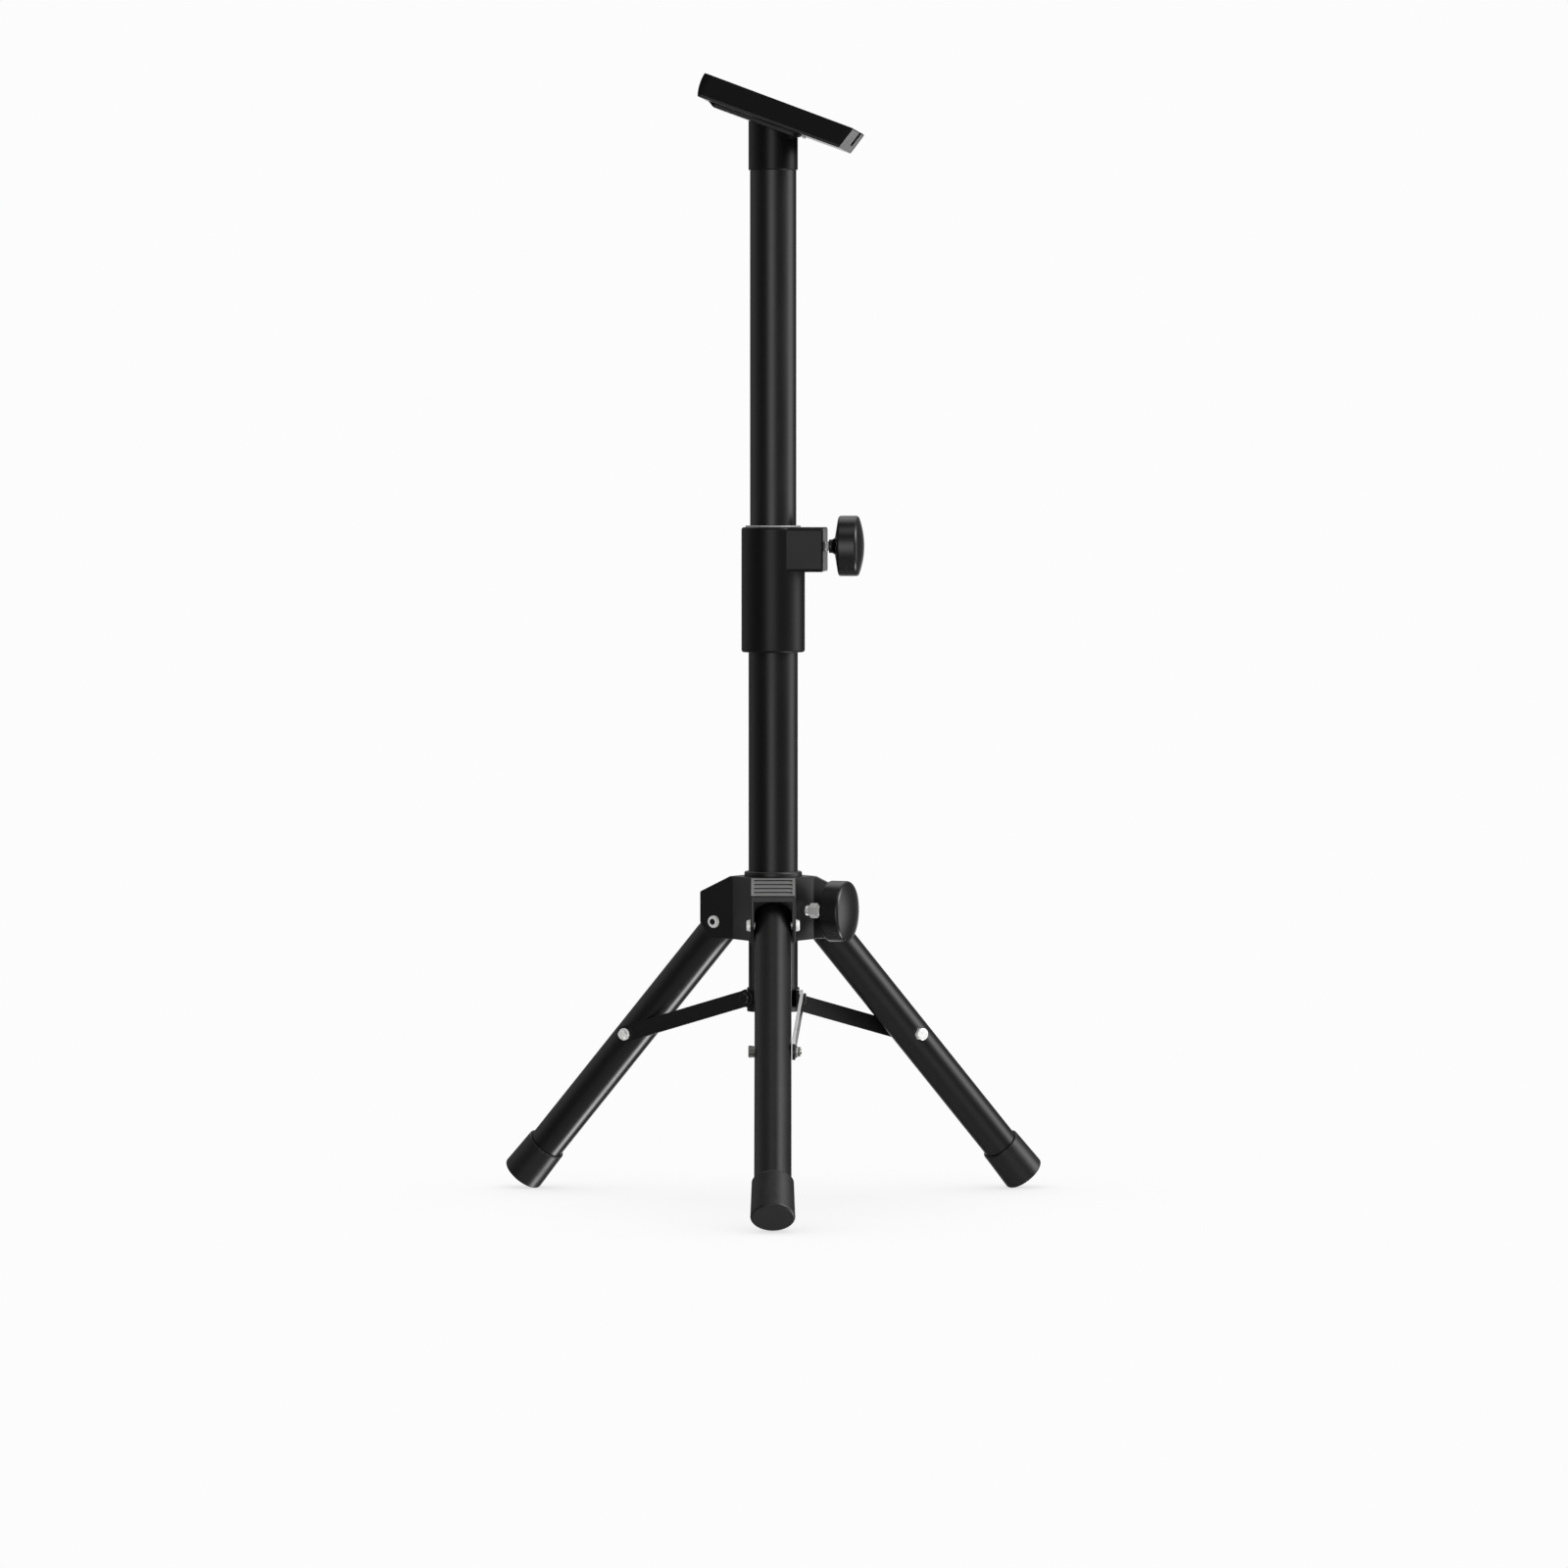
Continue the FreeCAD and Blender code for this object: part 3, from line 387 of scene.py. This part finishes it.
def rivet_through_leg():
    """Profile of a leg's rivet, and its head's change from round at the end to six-sided at the tube."""
    corner = corner_radius(RIVET_HEAD_FLATS)
    seat = math.sqrt(LEG_RADIUS ** 2 - corner ** 2)
    end = LEG_RADIUS + RIVET_HEAD_HEIGHT
    shoulder = end - NUT_CHAMFER
    dimple, dimple_floor = RIVET_DIMPLE
    head = np.array([[seat, corner], [shoulder, corner], [end, NUT_TOP * corner], [end, dimple],
                     [shoulder, dimple_floor], [shoulder, 0.0]])
    shank = [[-seat, RIVET_RADIUS], [seat, RIVET_RADIUS], [seat, 0.0]]
    return np.vstack([mirrored(head), shank]) * MM, six_sided(RIVET_HEAD_FLATS, (-seat, -seat))


def nut_on_brace():
    """Profile of a rivet's end in its brace with the flanged nut on it, and the nut's change to six sides."""
    inner, outer = BRACE_FACES
    flange = outer + NUT_FLANGE_HEIGHT
    bevel = flange - NUT_FLANGE_SLOPE
    top = outer + BRACE_NUT_HEIGHT
    shoulder = top - NUT_CHAMFER
    corner = corner_radius(BRACE_NUT_FLATS)
    neck, tip = RIVET_END_RADII
    profile = np.array([
        [inner, 0.0], [inner, RIVET_RADIUS], [outer, RIVET_RADIUS], [outer, NUT_FLANGE_RADIUS],
        [bevel - NUT_FLANGE_BEVEL, NUT_FLANGE_RADIUS], [bevel, NUT_FLANGE_RADIUS - NUT_FLANGE_BEVEL],
        [flange, corner], [shoulder, corner], [top, NUT_TOP * corner],
        [top, neck], [top + RIVET_END, tip], [top + RIVET_END, 0.0]])
    return profile * MM, six_sided(BRACE_NUT_FLATS, (flange, shoulder))


def leg_rivets(finish_of):
    """Rivet through each leg, and its nut on the outer face of the brace. The front leg's are a darker zinc
    copy, as painted shade.
    """
    rivet, rivet_sides = rivet_through_leg()
    nut, nut_sides = nut_on_brace()
    for leg in LEGS:
        # The front leg's fasteners take the darker zinc copy as painted shade.
        zinc = finish_of["zinc with painted shade" if leg == "front" else "bright zinc"]
        pivot, down, across = leg_frame(leg)
        place = pivot + down * LEG_RIVET_AT * MM
        shape = lathe(rivet, place, across, NUT_SIDES, rivet_sides)
        piece = mesh_piece("leg_rivet_head_" + leg, *shape, zinc, "leg_" + leg, "zinc")
        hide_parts("leg_rivet_" + leg)
        shape = lathe(nut, place, across, NUT_SIDES, nut_sides)
        piece = mesh_piece("brace_rivet_head_" + leg, *shape, zinc, "brace_" + leg, "zinc")
        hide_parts("brace_rivet_" + leg)


def knob_axis(name):
    """Point on the mast's middle line at a knob's height, and the direction of that knob's axis."""
    joint = JOINTS[name + "_knob_turn"]
    return np.array([MAST_X, MAST_Y, joint["pos_m"][2]]), np.asarray(joint["axis"], float)


def threaded_rod(start, end):
    """Profile of a screw along its axis, chamfered at both ends, with rings close enough for its thread."""
    rings = np.arange(start + SCREW_CHAMFER, end - SCREW_CHAMFER, THREAD_PITCH / THREAD_RINGS)
    body = np.stack([rings, np.full(len(rings), SCREW_RADIUS)], axis=1)
    end_radius = SCREW_RADIUS - SCREW_CHAMFER
    return np.vstack([[[start, 0.0], [start, end_radius]], body, [[end, end_radius], [end, 0.0]]]) * MM


def knob_screws(finish_of):
    """Threaded screws of the two knobs."""
    for name, reach in SCREW_REACHES.items():
        rod = lathe(threaded_rod(*reach), *knob_axis(name), SCREW_SIDES, thread)
        piece = mesh_piece(name + "_screw_thread", *rod, finish_of["bright zinc"], name + "_knob", "zinc",
                           THREAD_SHARP_ANGLE)
        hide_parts(name + "_screw")


def hub_lock_nut(finish_of):
    """Six-sided lock nut on the hub knob's screw, chamfered at both ends."""
    start, end = HUB_NUT
    corner = corner_radius(HUB_NUT_FLATS)
    profile = np.array([
        [start, 0.0], [start, HUB_NUT_TOP * corner], [start + NUT_CHAMFER, corner],
        [end - NUT_CHAMFER, corner], [end, HUB_NUT_TOP * corner], [end, 0.0]]) * MM
    nut = lathe(profile, *knob_axis("hub"), NUT_SIDES, six_sided(HUB_NUT_FLATS, HUB_NUT, SIXTH / 2))
    mesh_piece("hub_lock_nut", *nut, finish_of["bright zinc"], "hub_knob", "zinc")


# Shader groups shared by the finishes

def new_group(name, inputs, outputs):
    """Empty shader group with float inputs (name, value) and outputs (name, socket kind)."""
    group = bpy.data.node_groups.new(name, "ShaderNodeTree")
    for label, value in inputs:
        socket = group.interface.new_socket(label, in_out="INPUT", socket_type="NodeSocketFloat")
        socket.default_value = value
    for label, kind in outputs:
        group.interface.new_socket(label, in_out="OUTPUT", socket_type=kind)
    return group, group.nodes.new("NodeGroupInput"), group.nodes.new("NodeGroupOutput")


def give(tree, value, socket):
    """Writes a number to an input, or links another node's socket to it."""
    if isinstance(value, (int, float)):
        socket.default_value = value
    else:
        tree.links.new(value, socket)


def maths(tree, operation, *values, clamp=False):
    """Math node with sockets or numbers for its values; gives its result socket."""
    node = tree.nodes.new("ShaderNodeMath")
    node.operation = operation
    node.use_clamp = clamp
    for socket, value in zip(node.inputs, values):
        give(tree, value, socket)
    return node.outputs[0]


def noise(tree, coordinates, scale, detail, roughness=0.5):
    """Noise on given coordinates; scale is a socket or a number."""
    node = tree.nodes.new("ShaderNodeTexNoise")
    tree.links.new(coordinates, node.inputs["Vector"])
    give(tree, scale, node.inputs["Scale"])
    node.inputs["Detail"].default_value = detail
    node.inputs["Roughness"].default_value = roughness
    return node.outputs["Fac"]


def spread(tree, value, low, high, new_low=0.0, new_high=1.0):
    """Map Range with clamping from low..high to new_low..new_high."""
    node = tree.nodes.new("ShaderNodeMapRange")
    tree.links.new(value, node.inputs["Value"])
    for label, number in (("From Min", low), ("From Max", high), ("To Min", new_low), ("To Max", new_high)):
        node.inputs[label].default_value = number
    return node.outputs["Result"]


def rise_of(tree, vector):
    """Height part of a direction."""
    parts = tree.nodes.new("ShaderNodeSeparateXYZ")
    tree.links.new(vector, parts.inputs[0])
    return parts.outputs["Z"]


def rounded_edge_group():
    """Normal that eases over every edge, and a mask that is bright along those edges."""
    group, given, result = new_group(
        "Rounded edge", [("Radius", 0.0006)], [("Normal", "NodeSocketVector"), ("Edge", "NodeSocketFloat")])
    bevel = group.nodes.new("ShaderNodeBevel")
    bevel.samples = BEVEL_SAMPLES
    group.links.new(given.outputs["Radius"], bevel.inputs["Radius"])
    geometry = group.nodes.new("ShaderNodeNewGeometry")
    dot = group.nodes.new("ShaderNodeVectorMath")
    dot.operation = "DOT_PRODUCT"
    group.links.new(bevel.outputs["Normal"], dot.inputs[0])
    group.links.new(geometry.outputs["Normal"], dot.inputs[1])
    edge = spread(group, maths(group, "SUBTRACT", 1.0, dot.outputs["Value"]), *EDGE_LIMITS)
    group.links.new(bevel.outputs["Normal"], result.inputs["Normal"])
    group.links.new(edge, result.inputs["Edge"])
    return group


def grain_group():
    """Fine surface texture: a height for bump and a tone that wavers about one half."""
    group, given, result = new_group(
        "Surface grain", [("Scale", 900.0), ("Spread", 30.0)],
        [("Height", "NodeSocketFloat"), ("Tone", "NodeSocketFloat")])
    place = group.nodes.new("ShaderNodeTexCoord").outputs["Object"]
    fine = noise(group, place, given.outputs["Scale"], 3.0, 0.6)
    broad = noise(group, place, given.outputs["Spread"], 2.0)
    fine_share, broad_share = TONE_SHARES
    tone = maths(group, "MULTIPLY_ADD", fine, fine_share, maths(group, "MULTIPLY", broad, broad_share))
    group.links.new(fine, result.inputs["Height"])
    group.links.new(tone, result.inputs["Tone"])
    return group


def handling_group():
    """Faint smudges where hands and packing rub: a mask between 0 and 1."""
    group, given, result = new_group("Handling marks", [("Scale", 14.0)], [("Mask", "NodeSocketFloat")])
    place = group.nodes.new("ShaderNodeTexCoord").outputs["Object"]
    broad = noise(group, place, given.outputs["Scale"], 4.0, 0.62)
    group.links.new(spread(group, broad, *SMUDGE_LIMITS), result.inputs["Mask"])
    return group


def dust_group():
    """Thin dust on faces that look up: the height part of the normal, broken by noise."""
    group, given, result = new_group("Settled dust", [("Amount", 0.1)], [("Mask", "NodeSocketFloat")])
    place = group.nodes.new("ShaderNodeTexCoord")
    upward = spread(group, rise_of(group, place.outputs["Normal"]), *DUST_SLOPE_LIMITS)
    patches = spread(group, noise(group, place.outputs["Object"], DUST_SCALE, 4.0, 0.65), *DUST_PATCH_LIMITS)
    mask = maths(group, "MULTIPLY", maths(group, "MULTIPLY", upward, patches), given.outputs["Amount"])
    group.links.new(mask, result.inputs["Mask"])
    return group


def slope_group():
    """Mask of the faces whose normal rises by one share of its length, such as the hub's roofs: where
    highlight is painted.
    """
    group, given, result = new_group(
        "Sloping faces", [("Rise", 0.906), ("Margin", 0.04)], [("Mask", "NodeSocketFloat")])
    rise = rise_of(group, group.nodes.new("ShaderNodeTexCoord").outputs["Normal"])
    mask = maths(group, "COMPARE", rise, given.outputs["Rise"], given.outputs["Margin"])
    group.links.new(mask, result.inputs["Mask"])
    return group


ROUNDED_EDGE = rounded_edge_group()
SLOPE = slope_group()
GRAIN = grain_group()
HANDLING = handling_group()
DUST = dust_group()


# Finishes

def placed(tree, group, **values):
    """Group node in a material, with its own input values."""
    node = tree.nodes.new("ShaderNodeGroup")
    node.node_tree = group
    for label, value in values.items():
        node.inputs[label].default_value = value
    return node


def blended(tree, share, first, second):
    """Colour mix; first and second are sockets or colours, share is a socket."""
    node = tree.nodes.new("ShaderNodeMix")
    node.data_type = "RGBA"
    tree.links.new(share, node.inputs["Factor"])
    for socket, value in zip((node.inputs[6], node.inputs[7]), (first, second)):
        if isinstance(value, tuple):
            socket.default_value = (*value, 1.0)
        else:
            tree.links.new(value, socket)
    return node.outputs[2]


def finish(name, colour, tone, roughness, grain, depth, edge, rubbed=RUBBED_GREY, wear=0.35, dust=0.05,
           metallic=0.0, specular=0.5, painted_highlight=None):
    """One finish: colour that wavers by tone, rubbed edges, thin dust, smudged roughness, grain as bump,
    painted highlight if given.
    """
    material = bpy.data.materials.new(name)
    material.use_nodes = True
    tree = material.node_tree
    shader = tree.nodes["Principled BSDF"]
    edges = placed(tree, ROUNDED_EDGE, Radius=edge * MM)
    surface = placed(tree, GRAIN, Scale=grain)
    marks = placed(tree, HANDLING)
    settled = placed(tree, DUST, Amount=dust)
    lighter = tuple(min(1.0, part * (1 + tone)) for part in colour)
    darker = tuple(part * (1 - tone) for part in colour)
    base = blended(tree, surface.outputs["Tone"], darker, lighter)
    worn = maths(tree, "MULTIPLY", edges.outputs["Edge"], maths(tree, "MULTIPLY", marks.outputs["Mask"], wear))
    base = blended(tree, worn, base, rubbed)
    base = blended(tree, settled.outputs["Mask"], base, DUST_COLOUR)
    # Painted highlight: a paler colour on the faces of one slope, standing in for the light that falls on
    # them.
    if painted_highlight is not None:
        rise, margin, painted_highlight_colour = painted_highlight
        base = blended(tree, placed(tree, SLOPE, Rise=rise, Margin=margin).outputs["Mask"], base, painted_highlight_colour)
    tree.links.new(base, shader.inputs["Base Color"])
    smudge = spread(tree, marks.outputs["Mask"], 0.0, 1.0, roughness, roughness * SMUDGE_ROUGHNESS)
    dusty = maths(tree, "MULTIPLY", settled.outputs["Mask"], DUST_ROUGHNESS)
    tree.links.new(maths(tree, "ADD", smudge, dusty, clamp=True), shader.inputs["Roughness"])
    bump = tree.nodes.new("ShaderNodeBump")
    bump.inputs["Strength"].default_value = 1.0
    bump.inputs["Distance"].default_value = depth * MM
    tree.links.new(surface.outputs["Height"], bump.inputs["Height"])
    tree.links.new(edges.outputs["Normal"], bump.inputs["Normal"])
    tree.links.new(bump.outputs["Normal"], shader.inputs["Normal"])
    shader.inputs["Metallic"].default_value = metallic
    shader.inputs["Specular IOR Level"].default_value = specular
    return material


FINISHES = {name: finish(name, **values) for name, values in FINISH_VALUES.items()}


def dress_solids():
    """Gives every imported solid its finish."""
    names = dict(NODE_FINISHES)
    for stem, words in LEG_NODE_FINISHES.items():
        for leg in LEGS:
            names[stem + "_" + leg] = words
    for name, words in names.items():
        mesh = NODES[name].data
        mesh.materials.clear()
        mesh.materials.append(FINISHES[words])


# Studio

def shader_mix(tree, share, first, second):
    """Mix of two shader nodes by a share socket."""
    node = tree.nodes.new("ShaderNodeMixShader")
    tree.links.new(share, node.inputs[0])
    tree.links.new(first.outputs[0], node.inputs[1])
    tree.links.new(second.outputs[0], node.inputs[2])
    return node


def floor_paper():
    """Pale paper: open to the room's white, and darker by a share of how far near pieces close it in.

    The camera sees the feet of a folded stand through it, and gloss sees the lights below it.
    """
    material = bpy.data.materials.new("studio paper")
    material.use_nodes = True
    tree = material.node_tree
    shader = tree.nodes["Principled BSDF"]
    shader.inputs["Base Color"].default_value = (FLOOR_TONE, FLOOR_TONE, FLOOR_TONE, 1)
    shader.inputs["Roughness"].default_value = FLOOR_ROUGHNESS
    shader.inputs["Specular IOR Level"].default_value = 0.0
    near = tree.nodes.new("ShaderNodeAmbientOcclusion")
    near.inputs["Distance"].default_value = FLOOR_SHADOW_REACH
    sheer = tree.nodes.new("ShaderNodeBsdfTransparent")
    tree.links.new(spread(tree, near.outputs["AO"], 0.0, 1.0, 1.0 - FLOOR_SHADOW, 1.0), sheer.inputs["Color"])
    clear = tree.nodes.new("ShaderNodeBsdfTransparent")
    path = tree.nodes.new("ShaderNodeLightPath")
    paper = shader_mix(tree, path.outputs["Is Camera Ray"], shader, sheer)
    open_paper = shader_mix(tree, path.outputs["Is Glossy Ray"], paper, clear)
    tree.links.new(open_paper.outputs[0], tree.nodes["Material Output"].inputs["Surface"])
    return material


def studio_floor():
    """Wide level floor under the stand."""
    half = FLOOR_SIZE / 2
    corners = [(-half, -half, 0), (half, -half, 0), (half, half, 0), (-half, half, 0)]
    mesh = bpy.data.meshes.new("studio_floor")
    mesh.from_pydata(corners, [], [(0, 1, 2, 3)])
    mesh.materials.append(floor_paper())
    floor = bpy.data.objects.new("studio_floor", mesh)
    bpy.context.scene.collection.objects.link(floor)


def room_light(tree, direction, azimuth, elevation, width, strength):
    """One soft light on the room's walls: strength times e to the k (cosine of the angle to it, less one)."""
    a, e = math.radians(azimuth), math.radians(elevation)
    dot = tree.nodes.new("ShaderNodeVectorMath")
    dot.operation = "DOT_PRODUCT"
    tree.links.new(direction, dot.inputs[0])
    dot.inputs[1].default_value = (math.sin(a) * math.cos(e), -math.cos(a) * math.cos(e), math.sin(e))
    k = 1.0 / math.radians(width) ** 2
    fall = maths(tree, "MULTIPLY", maths(tree, "SUBTRACT", dot.outputs["Value"], 1.0), k)
    return maths(tree, "MULTIPLY", maths(tree, "EXPONENT", fall), strength)


def studio_room():
    """Room light: paper white to the camera, dim walls with soft lights on them to everything else."""
    world = bpy.data.worlds.new("studio room")
    bpy.context.scene.world = world
    world.use_nodes = True
    tree = world.node_tree
    sky = tree.nodes["Background"]
    direction = tree.nodes.new("ShaderNodeTexCoord").outputs["Generated"]
    room = ROOM_DIM
    for light in ROOM_LIGHTS:
        room = maths(tree, "ADD", room, room_light(tree, direction, *light))
    path = tree.nodes.new("ShaderNodeLightPath")
    gain = spread(tree, path.outputs["Is Diffuse Ray"], 0.0, 1.0, 1.0, SCATTER_GAIN)
    seen = tree.nodes.new("ShaderNodeMix")
    seen.data_type = "FLOAT"
    tree.links.new(path.outputs["Is Camera Ray"], seen.inputs["Factor"])
    tree.links.new(maths(tree, "MULTIPLY", room, gain), seen.inputs[2])
    seen.inputs[3].default_value = PAPER_WHITE
    tree.links.new(seen.outputs[0], sky.inputs["Strength"])
    sky.inputs["Color"].default_value = (1, 1, 1, 1)


def photo_camera():
    """Camera where the photograph was taken, for a square frame."""
    data = bpy.data.cameras.new("photo camera")
    data.sensor_width = SENSOR_MM
    data.lens = FOCAL_PIXELS / PHOTO_PIXELS * SENSOR_MM
    data.clip_end = CAMERA_SIGHT
    camera = bpy.data.objects.new("photo camera", data)
    bpy.context.scene.collection.objects.link(camera)
    camera.location = (MAST_X + CAMERA_SIDE, MAST_Y - CAMERA_DISTANCE, CAMERA_HEIGHT)
    camera.rotation_euler = (math.radians(90.0 - CAMERA_PITCH), 0.0, 0.0)
    bpy.context.scene.camera = camera


photo_camera()
studio_floor()
studio_room()
dress_solids()
pivot_bolts(FINISHES)
leg_rivets(FINISHES)
knob_screws(FINISHES)
hub_lock_nut(FINISHES)
bpy.context.scene.view_settings.view_transform = "Standard"
